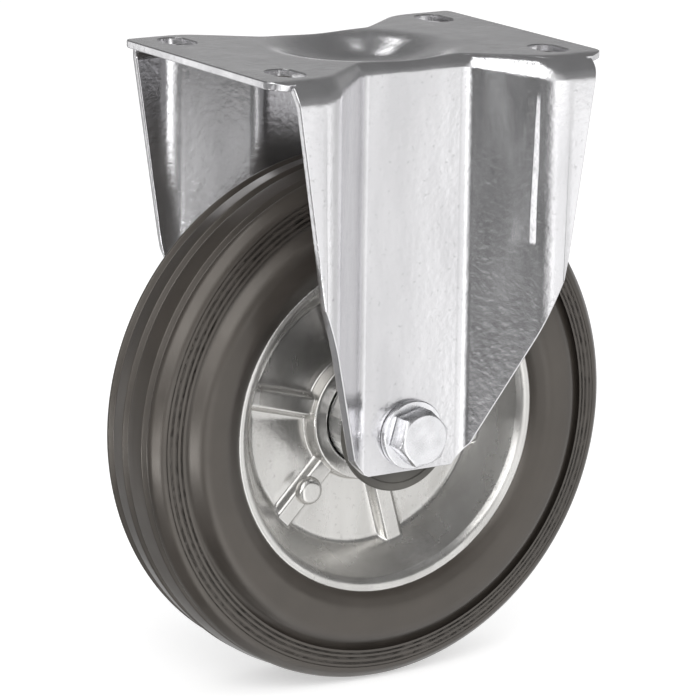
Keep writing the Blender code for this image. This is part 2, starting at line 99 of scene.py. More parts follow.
# Rim discs
RIM_SHEET = 2.2 * MM
WEB_FACE = SEAT_GAP / 2 + RIM_SHEET
HUB_RADIUS = 18 * MM
BOSS_RADIUS = 24.8 * MM
BOSS_SLOPE = 0.8 * MM
BOSS_HEIGHT = 6 * MM
WELL_RADIUS = 49.3 * MM
RIM_RADIUS = 64.4 * MM
RIM_HALF_WIDTH = 21.2 * MM
LIP_WIDTH = 4.9 * MM
LIP_RISE = 2.7 * MM
LIP_FLAT = 2.9 * MM
LIP_TILT = 0.3 * MM
RIM_FILLETS = (MM, MM, 3.5 * MM, 4 * MM, 4 * MM)
RIM_EDGE = 0.8 * MM
RIM_PITCH = 0.9 * MM       # spacing of the surface lines
RIB_COUNT = 6
RIB_ANGLE = 165.3          # degrees from +X towards +Z, first rib
RIB_HEIGHT = 3.6 * MM
RIB_TOP = 5.5 * MM
RIB_FOOT = 11 * MM
RIB_BLEND = 1.4 * MM       # reach of the soft join between a rib and the disc
RIB_FADE = 5               # how fast the join sets in at the rib's foot
RIB_STEPS = 9              # surface lines on each half of a rib
GAP_STEPS = 12             # and between two ribs
RIVET_COUNT = 3
RIVET_CIRCLE = 36 * MM
RIVET_RADIUS = 5.4 * MM
RIVET_HEIGHT = 3 * MM
RIVET_GAP = 0.05 * MM
RIVET_SHANK = 2.6 * MM
RIVET_CROWN = 0.85         # rounding of the head, as a share of its height
RIVET_STEPS = 48

# Tyre
TYRE_RADIUS = 100 * MM
AXLE_Z = TYRE_RADIUS
TYRE_HALF_WIDTH = 25 * MM
GROOVE_DEPTH = 2 * MM
GROOVE_EDGE = 2.2 * MM     # half its width at the tread
GROOVE_FLOOR = 1.1 * MM    # half its width at its floor
GROOVE_SPACING = 12.4 * MM
GROOVE_DROP = 0.93 * MM    # fall of the crowned tread from its middle to the outer grooves
SHOULDER_DROP = 1.2 * MM
SHOULDER_START = 16 * MM
SHOULDER = (95.3 * MM, 20 * MM)
CREASE = (86 * MM, 19.2 * MM)
WALL_RADII = (80.8 * MM, 71.2 * MM)   # between them the side wall is at its widest
TREAD_FILLET = 0.6 * MM
SIDE_FILLETS = (4 * MM, 4 * MM, 5 * MM, 7 * MM, 9 * MM)
FOOT_GAP = (0.3 * MM, 0.1 * MM)       # from the rim's edge, in radius and along the axle
FOOT_INSIDE = ((61.5 * MM, 17.2 * MM), (58.5 * MM, 16.5 * MM), (52.5 * MM, 6 * MM), (49.8 * MM, 1.5 * MM))
RIDGE_START = 94.2 * MM    # the moulded rings lie inside this radius
RIDGE_RADII = (93.2 * MM, 91.2 * MM, 89.2 * MM, 87.4 * MM)
RIDGE_WIDTH = 0.9 * MM
RIDGE_DEPTH = 0.16 * MM
RIDGE_SECTION = ((0.5, 0), (0.15, 1), (-0.15, 1), (-0.5, 0))   # shares of its width and of its depth
TYRE_PITCH = 2.5 * MM
TYRE_STEPS = 256
TYRE_SHARP = 60

# Bearing caps, bolt, nut and washers
CAP_RADIUS = 23.7 * MM
CAP_RIM = 3 * MM           # width of the flat ring outside its step
CAP_STEP = 0.5 * MM
CAP_FILLET = 0.4 * MM
CAP_ROUNDING = 1.2 * MM
CAP_SPIGOT = 2 * MM
SLEEVE_RADIUS = 10 * MM
HUB_BORE_RADIUS = 15 * MM
HEX_FLATS = 19 * MM
HEX_TOP = 0.47             # radius of the round top, as a share of the flats
HEX_CONE = 30              # slope of the cone that takes the corners off, in degrees
HEX_MARGIN = 0.2 * MM      # reach of the round body past the hexagon's corners, before it is cut
HEX_BREAK = 0.1 * MM       # height of the plain seat's edge
HEX_EDGE = 0.25 * MM       # rounding of its edges
HEX_SHARP = 20
HEAD_TURN = 14             # degrees, first corner of the head from +X towards +Z
BOLT_RADIUS = 6 * MM
THREAD_PITCH = 1.75 * MM
THREAD_DEPTH = 0.9 * MM
THREAD_START = PANEL_INNER - 4 * MM
THREAD_TAPER = 1.2 * MM
THREAD_STEPS = 48
THREAD_ROWS = 8            # rows of points in one turn's pitch
THREAD_SHARP = 50
NUT_FLARE = 0.8 * MM
WASHER_RADIUS = 13 * MM
WASHER_FILLETS = (0.3 * MM, 0.6 * MM, 0.3 * MM)

# Bead: a fine raised line on the near leg's right slope, given at its low and its high end
BEAD_ENDS = (69 * MM, 129.6 * MM)
BEAD_PLACES = (40.8 * MM, 41.8 * MM)
BEAD_WIDTHS = (2.3 * MM, 0.9 * MM)
BEAD_PITCH = 0.35 * MM
BEAD_SLOPE = 0.42
BEAD_LEAD = 0.4            # steepness of its near flank, as a share of the far flank's
BEAD_TAPERS = (25, 20)     # how fast it rises from its low and its high end
BEAD_REACH = (1 / BEAD_LEAD + 0.6, 1)   # how far its close surface lines go to either side, in its widths
BEAD_ROWS = (1, 0.9, 0.75, 0.5, 0.25, 0.04, 0)   # its surface rows, from its high end to its low one

# Materials
SHEET_COLOURS = ((0.78, 0.775, 0.79), (0.68, 0.675, 0.69))   # light and dark patches
RIM_COLOURS = ((0.7, 0.69, 0.67), (0.58, 0.57, 0.55))
BOLT_COLOUR = (0.86, 0.86, 0.88)
BEARING_COLOUR = (0.6, 0.6, 0.6)
PLASTIC_COLOUR = (0.1, 0.095, 0.085)
RUBBER_COLOUR = (0.037, 0.031, 0.026)
RUBBER_SHINE = (1, 0.95, 0.89, 1)
PEEL_FADE = (36 * MM, 46 * MM)   # distance from the plate's middle over which the sheet's dents set in
PEEL_STRENGTHS = (0.12, 0.34)

# Studio: the levels that polished surfaces see round the castor, by degrees from +X towards +Y
LOW_LEVELS = ((-180, 0.25), (-162, 0.25), (-152, 0.08), (-132, 0.08), (-124, 0.12), (-112, 1.1), (-101, 2.3),
              (-88, 1.6), (-70, 1.02), (-52, 1.01), (-43, 1.3), (-34, 0.97), (-25, 0.96), (-16, 0.72),
              (-4, 0.75), (29, 0.85), (45, 1.1), (60, 1.2), (88, 0.6), (112, 0.35), (119, 1.4), (124, 1.4),
              (130, 0.35), (145, 0.3), (180, 0.25))
HIGH_LEVELS = ((-180, 0.5), (-165, 2), (-155, 3.5), (-140, 3.5), (-126, 1.6), (-112, 0.8), (-85, 0.22),
               (0, 0.2), (30, 0.3), (45, 0.2), (58, 0.35), (66, 0.33), (80, 0.22), (108, 0.2),
               (145, 0.2), (180, 0.5))
LOW_TO_HIGH = (-0.02, 0.1)   # height of a direction where the low levels give way to the high ones
CEILING_LEVEL = 0.13
CEILING_START = (0.3, 0.6)   # height of a direction where the walls fade into the ceiling
# Soft round lamps in the walls and the ceiling: direction, half its width in degrees, level
WALL_LAMPS = (((-0.7, -0.45, 0.55), 32, 2.6), ((-0.38, -0.08, 0.92), 12, 3.5),
              ((-0.72, -0.504, -0.477), 14, 0.9), ((0.241, 0.645, 0.725), 3.4, 3.5),
              ((0.337, 0.455, 0.824), 2.4, 2))
# Cards close to the castor: place and size in millimetres, direction faced in degrees, level
CARDS = (((-240, -100, 55), (76, 40), 35.4, 10), ((-240, -100, 140), (60, 70), 35.4, 0.4),
         ((39.9, -303.4, 100), (142, 180), 122.4, 1.15), ((126, -248.8, 100), (62, 180), 122.4, 0.93),
         ((175.8, -217.1, 100), (56, 180), 122.4, 1.3))
# Soft lamps for the rubber and plastic: name, place and size in metres, power
LAMPS = (("key", (-1.2, -1.5, 1.5), (1.2, 1.2), 20), ("fill", (1.5, -1.2, 0.9), (1.2, 1.2), 10))
AMBIENT = 0.65
FLOOR_HALF_SIDE = 30       # metres
FLOOR_COLOUR = (0.8, 0.8, 0.8, 1)
FLOOR_ROUGHNESS = 0.9
FLOOR_GLOW = 0.5
BLACK = (0, 0, 0, 1)
WHITE = (1, 1, 1, 1)


def rounded(points, radii, steps=8):
    """Return an open line through points with each inner corner turned into an arc."""
    line = [Vector(points[0])]
    for before, corner, after, radius in zip(points, points[1:], points[2:], radii):
        corner = Vector(corner)
        back = (Vector(before) - corner).normalized()
        ahead = (Vector(after) - corner).normalized()
        turn = math.pi - back.angle(ahead)
        if radius <= 0 or turn < STRAIGHT_TURN:
            line.append(corner)
            continue
        reach = radius * math.tan(turn / 2)
        centre = corner + (back + ahead).normalized() * radius / math.cos(turn / 2)
        start = corner + back * reach - centre
        side = corner + ahead * reach - centre
        for step in range(steps + 1):
            part = step / steps
            mixed = start * math.sin((1 - part) * turn) + side * math.sin(part * turn)
            line.append(centre + mixed / math.sin(turn))
    line.append(Vector(points[-1]))
    return line


def split_long(line, pitch):
    """Add points to a line so that none of its segments is much longer than pitch."""
    points = []
    for a, b in zip(line, line[1:]):
        parts = max(1, round((b - a).length / pitch))
        points += [a.lerp(b, step / parts) for step in range(parts)]
    return points + [line[-1]]


def smooth_step(value):
    """Ease a value from 0 to 1."""
    value = min(max(value, 0.0), 1.0)
    return value * value * (3 - 2 * value)


def add_object(name, data):
    obj = bpy.data.objects.new(name, data)
    bpy.context.scene.collection.objects.link(obj)
    return obj


def mesh_object(name, bm):
    """Turn a bmesh into an object's mesh, and free it."""
    mesh = bpy.data.meshes.new(name)
    bm.to_mesh(mesh)
    bm.free()
    return add_object(name, mesh)


def flat_square(name, half_side):
    bm = bmesh.new()
    bmesh.ops.create_grid(bm, x_segments=1, y_segments=1, size=half_side)
    return mesh_object(name, bm)


def at_axle(obj):
    """Give a piece that is built about the axle its place, and smooth shading."""
    obj.data.shade_smooth()
    obj.location = (0, 0, AXLE_Z)
    return obj


def new_piece(name, bm, sharp=SHARP_ANGLE):
    """Join the doubled points of a body or a skin, and make it a piece with sharp edges where it turns."""
    bmesh.ops.remove_doubles(bm, verts=bm.verts, dist=MERGE_DISTANCE)
    bmesh.ops.recalc_face_normals(bm, faces=bm.faces)
    obj = at_axle(mesh_object(name, bm))
    obj.data.set_sharp_from_angle(angle=math.radians(sharp))
    return obj


def lathe(bm, profile, steps=LATHE_STEPS, centre=(0, 0)):
    """Turn a closed profile of (radius, place along the axle) about an axis parallel to Y."""
    rings = []
    for step in range(steps):
        angle = 2 * math.pi * step / steps
        rings.append([bm.verts.new((centre[0] + radius * math.cos(angle), along,
                                    centre[1] + radius * math.sin(angle))) for radius, along in profile])
    for ring, after in zip(rings, rings[1:] + rings[:1]):
        for a, b, c, d in zip(ring, after, after[1:] + after[:1], ring[1:] + ring[:1]):
            on_axis = a.co == b.co and c.co == d.co
            if not on_axis:
                bm.faces.new((a, b, c, d))


def prism(name, rings, sharp=SHARP_ANGLE):
    """A closed body through a stack of closed outlines, each a list of points."""
    bm = bmesh.new()
    stack = [[bm.verts.new(point) for point in ring] for ring in rings]
    for low, high in zip(stack, stack[1:]):
        for a, b, c, d in zip(low, low[1:] + low[:1], high[1:] + high[:1], high):
            bm.faces.new((a, b, c, d))
    bm.faces.new(stack[0])
    bm.faces.new(stack[-1])
    return new_piece(name, bm, sharp)


def modifier(obj, kind, **settings):
    made = obj.modifiers.new(kind.lower(), kind)
    for name, value in settings.items():
        setattr(made, name, value)


def boolean(obj, cutter, operation="DIFFERENCE"):
    modifier(obj, "BOOLEAN", object=cutter, operation=operation, solver="EXACT")
    bake(obj)
    bpy.data.objects.remove(cutter)


def bake(obj):
    """Turn the object's modifiers into its mesh."""
    bpy.context.view_layer.update()
    graph = bpy.context.evaluated_depsgraph_get()
    mesh = bpy.data.meshes.new_from_object(obj.evaluated_get(graph))
    obj.modifiers.clear()
    obj.data = mesh


def edged(obj, width, segments=2, angle=50):
    """Round the sharp edges."""
    modifier(obj, "BEVEL", width=width, segments=segments, limit_method="ANGLE",
             angle_limit=math.radians(angle), use_clamp_overlap=False, harden_normals=False)
    bake(obj)


def flat_normals(obj):
    """Shade the large flat faces as flat."""
    modifier(obj, "WEIGHTED_NORMAL", mode="FACE_AREA", weight=50, keep_sharp=True)
    bake(obj)


def dish_drop(x, y):
    """Depth of the round dish at a place on the plate."""
    part = (math.hypot(x, y) - DISH_FLOOR_RADIUS) / (DISH_RADIUS - DISH_FLOOR_RADIUS)
    part = min(max(part, 0.0), 1.0)
    return DISH_DEPTH * (1 + math.cos(math.pi * part)) / 2


def sheet_section(x, face):
    """Outer face of the fork at one x, from the middle plane over the bend and down the leg."""
    part = (face - PANEL_FACE) / (WING_FACE - PANEL_FACE)
    radius = RECESS_BEND + (WING_BEND - RECESS_BEND) * part
    start, centre = face - radius, AXLE_TO_PLATE - radius
    rows = round((WING_FACE - WING_BEND) / SHEET_PITCH)
    points = [(start * row / rows, AXLE_TO_PLATE) for row in range(rows)]
    for row in range(BEND_ROWS + 1):
        turn = math.pi / 2 * row / BEND_ROWS
        points.append((start + radius * math.sin(turn), centre + radius * math.cos(turn)))
    points += [(face, BEAD_ENDS[0] + (BEAD_ENDS[1] - BEAD_ENDS[0]) * share) for share in BEAD_ROWS]
    points.append((face, 2 * TOE[1]))
    drops = [dish_drop(x, y) if z > centre else 0 for y, z in points]
    return [(x, y, z - drop) for (y, z), drop in zip(points, drops)]


def bead_rise(x, z):
    """Height of the bead: a long rise and a short fall towards the wing, tapering off at both ends."""
    part = (z - BEAD_ENDS[0]) / (BEAD_ENDS[1] - BEAD_ENDS[0])
    width = BEAD_WIDTHS[0] + (BEAD_WIDTHS[1] - BEAD_WIDTHS[0]) * part
    place = BEAD_PLACES[0] + (BEAD_PLACES[1] - BEAD_PLACES[0]) * part
    across = (x - place) / width + 0.5
    rise = min(BEAD_LEAD * across + 1, 1 - across)
    if part <= 0 or part >= 1 or rise <= 0:
        return 0
    return BEAD_SLOPE * width * rise * min(1, BEAD_TAPERS[0] * part, BEAD_TAPERS[1] * (1 - part))


def with_bead(plan):
    """Give the plan's line close points where the bead is."""
    low = BEAD_PLACES[0] - BEAD_WIDTHS[0] * BEAD_REACH[0]
    high = BEAD_PLACES[1] + BEAD_WIDTHS[0] * BEAD_REACH[1]
    points = [point for point in plan if not low < point[0] < high]
    for step in range(round((high - low) / BEAD_PITCH) + 1):
        x = low + BEAD_PITCH * step
        before, after = next((a, b) for a, b in zip(plan, plan[1:]) if a[0] <= x <= b[0])
        points.append(Vector(before).lerp(Vector(after), (x - before[0]) / (after[0] - before[0])))
    return sorted(points, key=lambda point: point[0])


def raised(point):
    """Move a point of the near right slope outwards by the bead's height."""
    x, y, z = point
    rise = bead_rise(x, z) if y < 0 else 0
    slant = math.atan2(WING_FACE - PANEL_FACE, WING_START - RECESS_HALF_WIDTH)
    return (x - rise * math.sin(slant), y - rise * math.cos(slant), z)


def fork_skin():
    """The outer face of the folded blank, before it is trimmed."""
    plan = rounded([(0, PANEL_FACE), (RECESS_HALF_WIDTH, PANEL_FACE), (WING_START, WING_FACE),
                    (PLATE_HALF_LENGTH + MM, WING_FACE)], (RECESS_FILLET, WING_FILLET))
    right = [(x, face) for x, face in with_bead(split_long(plan, SHEET_PITCH))]
    columns = [(-x, face) for x, face in reversed(right[1:])] + right
    bm = bmesh.new()
    grid = []
    for x, face in columns:
        half = sheet_section(x, face)
        line = [(px, -py, pz) for px, py, pz in reversed(half[1:])] + half
        grid.append([bm.verts.new(raised(point)) for point in line])
    for left, after in zip(grid, grid[1:]):
        for row in range(len(left) - 1):
            bm.faces.new((left[row], after[row], after[row + 1], left[row + 1]))
    return bm


def slice_skin(bm, wanted, point, normal, clear=True):
    """Cut the faces whose middles are wanted along a plane and, if clear, drop what lies beyond it."""
    faces = [face for face in bm.faces if wanted(face.calc_center_median())]
    # Sets have no fixed order, and the cut's result depends on the order
    edges = dict.fromkeys(edge for face in faces for edge in face.edges)
    verts = dict.fromkeys(vert for face in faces for vert in face.verts)
    bmesh.ops.bisect_plane(bm, geom=[*faces, *edges, *verts], dist=MERGE_DISTANCE,
                           plane_co=point, plane_no=normal, clear_outer=clear)


def trim_skin(bm):
    """Trim the blank to the plate's tips and to the tapering legs: the two trims meet inside the bend."""
    back = TIP_HALF_WIDTH + TIP_RETURN
    under = AXLE_TO_PLATE - SHEET - (WING_BEND - SHEET) / 4
    tip = rounded([(PLATE_HALF_LENGTH, 0), (PLATE_HALF_LENGTH, TIP_HALF_WIDTH), (LEG_HALF_WIDTH, back)],
                  (TIP_CORNER,))
    leg = rounded([(LEG_HALF_WIDTH, under), KNEE, FOOT, TOE, (0, TOE[1])],
                  (KNEE_CORNER, TOE_CORNER, TOE_CORNER))
    for side in (-1, 1):
        slice_skin(bm, lambda c: True, (0, side * back, 0), (0, 1, 0), False)
    slice_skin(bm, lambda c: True, (0, 0, under), (0, 0, 1), False)
    for side in (-1, 1):
        slice_skin(bm, lambda c: abs(c.y) > back, (side * LEG_HALF_WIDTH, 0, 0), (side, 0, 0))
        for a, b in zip(leg, leg[1:]):
            normal = (-side * (b.y - a.y), 0, b.x - a.x)
            slice_skin(bm, lambda c: c.z < under, (side * a.x, 0, a.y), normal)
        for end in (-1, 1):
            for a, b in zip(tip, tip[1:]):
                normal = (side * (b.y - a.y), -end * (b.x - a.x), 0)
                slice_skin(bm, lambda c: abs(c.y) < back, (side * a.x, end * a.y, 0), normal)
    bmesh.ops.remove_doubles(bm, verts=bm.verts, dist=SLIVER)
    bmesh.ops.dissolve_limit(bm, angle_limit=math.radians(FLAT_TURN), verts=bm.verts, edges=bm.edges)


def slot_ring(grow, height, place):
    """A slot's outline at one height, grown all round."""
    ring = []
    for step in range(SLOT_STEPS):
        angle = 2 * math.pi * (step + 0.5) / SLOT_STEPS
        reach = math.copysign(SLOT_REACH, math.sin(angle))
        ring.append((place[0] + (SLOT_RADIUS + grow) * math.cos(angle),
                     place[1] + reach + (SLOT_RADIUS + grow) * math.sin(angle), height))
    return ring


def slot_cutter(place):
    """A slot's cutter, flared where it leaves the sheet so that the slot's edges are broken."""
    top, bottom = AXLE_TO_PLATE, AXLE_TO_PLATE - SHEET
    levels = ((SHEET_EDGE + MM, top + MM), (SHEET_EDGE, top), (0, top - SHEET_EDGE),
              (0, bottom + SHEET_EDGE), (SHEET_EDGE, bottom), (SHEET_EDGE + MM, bottom - MM))
    return prism("slot", [slot_ring(grow, height, place) for grow, height in levels])


def circle_ring(radius, along):
    """A circle about the axle."""
    return [(radius * math.cos(2 * math.pi * step / CIRCLE_STEPS), along,
             radius * math.sin(2 * math.pi * step / CIRCLE_STEPS)) for step in range(CIRCLE_STEPS)]


def build_fork():
    bm = fork_skin()
    trim_skin(bm)
    fork = new_piece("fork_sheet", bm)
    modifier(fork, "SOLIDIFY", thickness=SHEET, offset=-1, use_even_offset=True)
    bake(fork)
    edged(fork, SHEET_EDGE)
    for sx in (-1, 1):
        for sy in (-1, 1):
            boolean(fork, slot_cutter((sx * SLOT_CENTRES[0], sy * SLOT_CENTRES[1])))
    hole = BOLT_RADIUS + BORE_GAP
    boolean(fork, prism("axle_hole", [circle_ring(hole, -WING_FACE), circle_ring(hole, WING_FACE)]))
    flat_normals(fork)
    return fork


def rim_profile():
    boss = WEB_FACE + BOSS_HEIGHT
    corners = [(HUB_RADIUS + SEAT_GAP, boss), (BOSS_RADIUS - BOSS_SLOPE, boss), (BOSS_RADIUS, WEB_FACE),
               (WELL_RADIUS, WEB_FACE), (RIM_RADIUS - LIP_WIDTH, RIM_HALF_WIDTH - LIP_RISE),
               (RIM_RADIUS - LIP_FLAT, RIM_HALF_WIDTH - LIP_TILT), (RIM_RADIUS, RIM_HALF_WIDTH)]
    return split_long(rounded(corners, RIM_FILLETS), RIM_PITCH)


def rib_rise(across):
    """Height of a rib at a distance from its middle, as a share of its full height."""
    return smooth_step((RIB_FOOT / 2 - abs(across)) / (RIB_FOOT - RIB_TOP) * 2)


def rim_face(base, across):
    """Distance of the disc's face from the middle plane, with the rib blended into it."""
    rise = rib_rise(across)
    over = RIB_HEIGHT * rise - (base - WEB_FACE)
    if over < -RIB_BLEND:
        return base
    lift = over if over > RIB_BLEND else (over + RIB_BLEND) ** 2 / (4 * RIB_BLEND)
    return base + lift * min(1.0, RIB_FADE * rise)


def rim_columns(radius):
    """Directions of the surface lines at one radius, as (angle, distance from the rib's middle)."""
    pitch = 2 * math.pi / RIB_COUNT
    offsets = [RIB_FOOT / 2 * step / RIB_STEPS for step in range(-RIB_STEPS, RIB_STEPS + 1)]
    foot = math.asin(RIB_FOOT / 2 / radius)
    columns = []
    for rib in range(RIB_COUNT):
        middle = math.radians(RIB_ANGLE) + rib * pitch
        columns += [(middle + math.asin(offset / radius), offset) for offset in offsets]
        columns += [(middle + foot + (pitch - 2 * foot) * step / GAP_STEPS, RIB_FOOT)
                    for step in range(1, GAP_STEPS)]
    return columns


def build_rim_disc(name, side):
    """One pressed disc: side is -1 for the near one and 1 for the far one."""
    bm = bmesh.new()
    rings = []
    for radius, base in rim_profile():
        rings.append([bm.verts.new((radius * math.cos(angle), side * rim_face(base, across),
                                    radius * math.sin(angle))) for angle, across in rim_columns(radius)])
    for inner, outer in zip(rings, rings[1:]):
        for index in range(len(inner)):
            after = (index + 1) % len(inner)
            quad = (inner[index], outer[index], outer[after], inner[after])
            bm.faces.new(quad if side < 0 else tuple(reversed(quad)))
    disc = at_axle(mesh_object(name, bm))
    modifier(disc, "SOLIDIFY", thickness=RIM_SHEET, offset=-1)
    bake(disc)
    edged(disc, RIM_EDGE, segments=3, angle=60)
    return disc


def rivet_places():
    """Middles of the rivets, which sit on every second rib."""
    angles = [math.radians(RIB_ANGLE + 360 / RIB_COUNT + 360 / RIVET_COUNT * number)
              for number in range(RIVET_COUNT)]
    return [(RIVET_CIRCLE * math.cos(angle), RIVET_CIRCLE * math.sin(angle)) for angle in angles]


def build_rivet(name, place):
    seat = WEB_FACE + RIB_HEIGHT + RIVET_GAP
    top = WEB_FACE + RIB_HEIGHT + SEAT_GAP + RIVET_HEIGHT
    head = rounded([(RIVET_RADIUS, seat), (RIVET_RADIUS, top), (0.0, top)], (RIVET_CROWN * (top - seat),))
    half = [(RIVET_SHANK, seat)] + [(r, y) for r, y in head]
    bm = bmesh.new()
    lathe(bm, half + [(r, -y) for r, y in reversed(half)], RIVET_STEPS, place)
    return new_piece(name, bm)


def moulded_rings(a, b):
    """The fine moulded rings on the side of the shoulder, between two corners of the profile."""
    points = []
    for radius in RIDGE_RADII:
        for offset, depth in RIDGE_SECTION:
            r = radius + offset * RIDGE_WIDTH
            along = b.y + (a.y - b.y) * (r - b.x) / (a.x - b.x)
            points.append((r, along - depth * RIDGE_DEPTH))
    return points


def tyre_half():
    """Half of the tyre's profile, from the middle of the tread to the foot between the discs."""
    middle_floor = TYRE_RADIUS - GROOVE_DEPTH
    beside = TYRE_RADIUS - GROOVE_DROP
    floor = beside - GROOVE_DEPTH
    tread = [(middle_floor, 0), (middle_floor, GROOVE_FLOOR), (TYRE_RADIUS, GROOVE_EDGE),
             (beside, GROOVE_SPACING - GROOVE_EDGE), (floor, GROOVE_SPACING - GROOVE_FLOOR),
             (floor, GROOVE_SPACING + GROOVE_FLOOR), (beside, GROOVE_SPACING + GROOVE_EDGE)]
    side = [(TYRE_RADIUS - SHOULDER_DROP, SHOULDER_START), SHOULDER, CREASE]
    side += [(radius, TYRE_HALF_WIDTH) for radius in WALL_RADII]
    foot = (RIM_RADIUS + FOOT_GAP[0], RIM_HALF_WIDTH + FOOT_GAP[1])
    fillets = (TREAD_FILLET,) * (len(tread) - 1) + SIDE_FILLETS
    line = rounded([*tread, *side, foot], fillets, steps=5)
    after_shoulder = max(index for index, point in enumerate(line) if point.x > RIDGE_START)
    before_crease = after_shoulder + 1
    rings = moulded_rings(line[after_shoulder], line[before_crease])
    line[before_crease:before_crease] = [Vector(point) for point in rings]
    return line + [Vector(point) for point in FOOT_INSIDE]


def build_tyre():
    half = [(r, y) for r, y in split_long(tyre_half(), TYRE_PITCH)]
    bm = bmesh.new()
    lathe(bm, half + [(r, -y) for r, y in reversed(half) if y > 0], TYRE_STEPS)
    return new_piece("tyre_rubber", bm, TYRE_SHARP)


def build_cap(name, side):
    """Thread guard: a dished plastic disc with a fine step near its edge."""
    inner = SLEEVE_RADIUS + 2 * BORE_GAP
    back = HUB_HALF_LENGTH + SEAT_GAP
    step = CAP_RADIUS - CAP_RIM
    corners = [(CAP_RADIUS - CAP_FILLET, back), (CAP_RADIUS, back + MM), (CAP_RADIUS, CAP_FACE),
               (step, CAP_FACE), (step - CAP_FILLET, CAP_FACE - CAP_STEP), (inner, CAP_FACE - CAP_STEP)]
    face = rounded(corners, (CAP_FILLET, CAP_ROUNDING, CAP_FILLET, CAP_FILLET), steps=5)
    spigot, end = HUB_BORE_RADIUS - BORE_GAP, back - CAP_SPIGOT
    profile = [(inner, end), (spigot, end), (spigot, back)] + [(r, y) for r, y in face]
    bm = bmesh.new()
    lathe(bm, [(r, side * y) for r, y in profile])
    return new_piece(name, bm)


def build_washer(name, side):
    near, far, hole = PANEL_FACE + SEAT_GAP, WASHER_FACE, BOLT_RADIUS + BORE_GAP
    corners = [(hole, near), (WASHER_RADIUS, near), (WASHER_RADIUS, far), (hole, far), (hole, near)]
    bm = bmesh.new()
    lathe(bm, [(r, side * y) for r, y in rounded(corners, WASHER_FILLETS, steps=4)[:-1]])
    return new_piece(name, bm)


def hexagon_ring(along, turn):
    corner = HEX_FLATS / math.sqrt(3)
    return [(corner * math.cos(math.radians(turn + 60 * step)), along,
             corner * math.sin(math.radians(turn + 60 * step))) for step in range(6)]


def hexagon_body(name, low, high, side, turn, both_ends):
    """A hexagon whose corners are taken off by a cone at one end or both."""
    corner, flat = HEX_FLATS / math.sqrt(3) + HEX_MARGIN, HEX_TOP * HEX_FLATS
    drop = (corner - flat) * math.tan(math.radians(HEX_CONE))
    start = (flat, low) if both_ends else (corner, low)
    profile = [(0, low), start, (corner, low + (drop if both_ends else HEX_BREAK)), (corner, high - drop),
               (flat, high), (0, high)]
    bm = bmesh.new()
    lathe(bm, [(r, side * y) for r, y in profile])
    body = new_piece(name, bm, HEX_SHARP)
    hexagon = prism("hexagon", [hexagon_ring(-WING_FACE, turn), hexagon_ring(WING_FACE, turn)])
    boolean(body, hexagon, "INTERSECT")
    return body


def thread(name, start, end):
    """A screw thread along Y, as a closed body."""
    rows = round((end - start) / THREAD_PITCH * THREAD_ROWS)
    rings = []
    for row in range(rows + 1):
        along = start + (end - start) * row / rows
        ring = []
        for step in range(THREAD_STEPS):
            phase = (along / THREAD_PITCH - step / THREAD_STEPS) % 1
            depth = THREAD_DEPTH * abs(2 * phase - 1)
            radius = BOLT_RADIUS - max(depth, along - end + THREAD_TAPER)
            angle = 2 * math.pi * step / THREAD_STEPS
            ring.append((radius * math.cos(angle), along, radius * math.sin(angle)))
        rings.append(ring)
    return prism(name, rings, THREAD_SHARP)


def build_bolt():
    bolt = hexagon_body("bolt_head", HEAD_SEAT, HEAD_SEAT + HEAD_HEIGHT, -1, HEAD_TURN, False)
    edged(bolt, HEX_EDGE, angle=HEX_SHARP)
    inside_head = -HEAD_SEAT - MM
    bm = bmesh.new()
    lathe(bm, [(0, inside_head), (BOLT_RADIUS, inside_head), (BOLT_RADIUS, THREAD_START),
               (0, THREAD_START)], CIRCLE_STEPS)
    join(bolt, new_piece("shank", bm))
    join(bolt, thread("bolt_thread", THREAD_START, BOLT_END))
    return bolt


def build_nut():
    low, high = HEAD_SEAT, HEAD_SEAT + NUT_HEIGHT
    nut = hexagon_body("nut", low, high, 1, 0, True)
    bore = BOLT_RADIUS + BORE_GAP
    wide = bore + NUT_FLARE
    levels = ((wide + MM, low - MM), (wide, low), (bore, low + NUT_FLARE),
              (bore, high - NUT_FLARE), (wide, high), (wide + MM, high + MM))
    boolean(nut, prism("bore", [circle_ring(radius, along) for radius, along in levels]))
    edged(nut, HEX_EDGE, angle=HEX_SHARP)
    return nut


def join(obj, other):
    """Add another object's mesh to obj, as a body of its own."""
    bm = bmesh.new()
    bm.from_mesh(obj.data)
    bm.from_mesh(other.data)
    bm.to_mesh(obj.data)
    bm.free()
    bpy.data.objects.remove(other)


def new_material(name):
    material = bpy.data.materials.new(name)
    material.use_nodes = True
    tree = material.node_tree
    return material, tree, tree.nodes["Principled BSDF"]


def add_node(tree, kind, inputs=None, **settings):
    made = tree.nodes.new(kind)
    for name, value in settings.items():
        setattr(made, name, value)
    for name, value in (inputs or {}).items():
        if isinstance(value, bpy.types.NodeSocket):
            tree.links.new(value, made.inputs[name])
        else:
            made.inputs[name].default_value = value
    return made


def place_nodes(tree, scale=(1, 1, 1)):
    """Object coordinates in metres, stretched by scale."""
    coordinates = add_node(tree, "ShaderNodeTexCoord").outputs["Object"]
    return add_node(tree, "ShaderNodeMapping", {"Vector": coordinates, "Scale": scale}).outputs["Vector"]


def noise(tree, place, scale, detail=3.0, roughness=0.5):
    """Cloudy noise, mostly between 0.3 and 0.7, with its scale per metre."""
    made = add_node(tree, "ShaderNodeTexNoise",
                    {"Vector": place, "Scale": scale, "Detail": detail, "Roughness": roughness})
    return made.outputs["Fac"]


def remap(tree, value, span, to=(0, 1)):
    """Carry a value from one span to another, clamped at both ends."""
    inputs = {"Value": value, "From Min": span[0], "From Max": span[1], "To Min": to[0], "To Max": to[1]}
    return add_node(tree, "ShaderNodeMapRange", inputs).outputs["Result"]


def shaded(colour, share):
    return tuple(share * part for part in colour)


